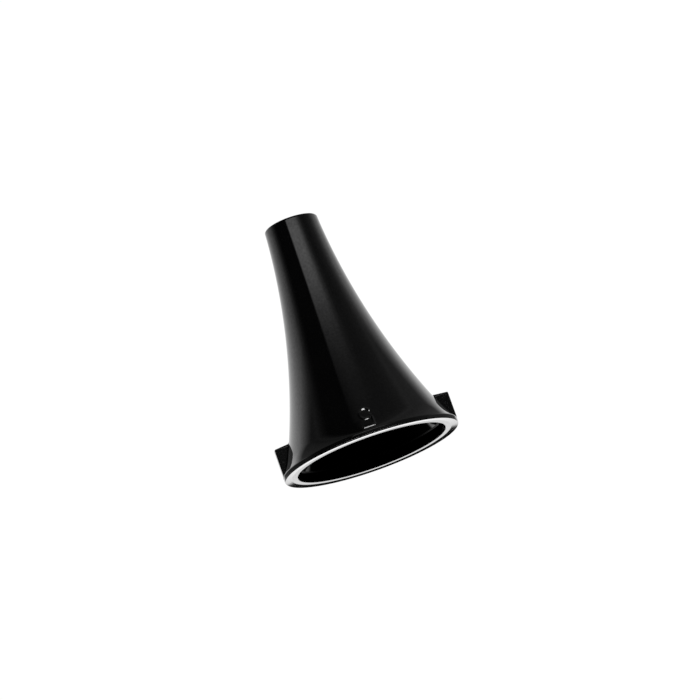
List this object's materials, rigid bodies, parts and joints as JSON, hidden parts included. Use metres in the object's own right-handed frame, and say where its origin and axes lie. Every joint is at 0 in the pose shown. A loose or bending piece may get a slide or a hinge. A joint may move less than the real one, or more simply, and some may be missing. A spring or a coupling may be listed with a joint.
{
  "type": "otoscope ear speculum",
  "caption": "Black reusable ear speculum for an otoscope: a flared funnel with a thick mounting rim, bayonet lugs and a rounded tip.",
  "frame": {"origin": "centre of the lowest plane of the mounting rim, on the axis of the funnel", "axes": "+Z along the funnel's axis from the rim to the tip, bayonet lugs at +X and -X, numeral facing -Y"},
  "size_m": [0.0164, 0.0164, 0.0225],
  "materials": {
    "black_plastic": "polished black injection moulding with faint orange peel"
  },
  "bodies": {
    "root": {"mounting_rim": "black_plastic", "funnel_wall": "black_plastic", "tip_ring": "black_plastic", "bayonet_lug_right": "black_plastic", "bayonet_lug_left": "black_plastic", "size_numeral": "black_plastic"}
  },
  "joints": []
}
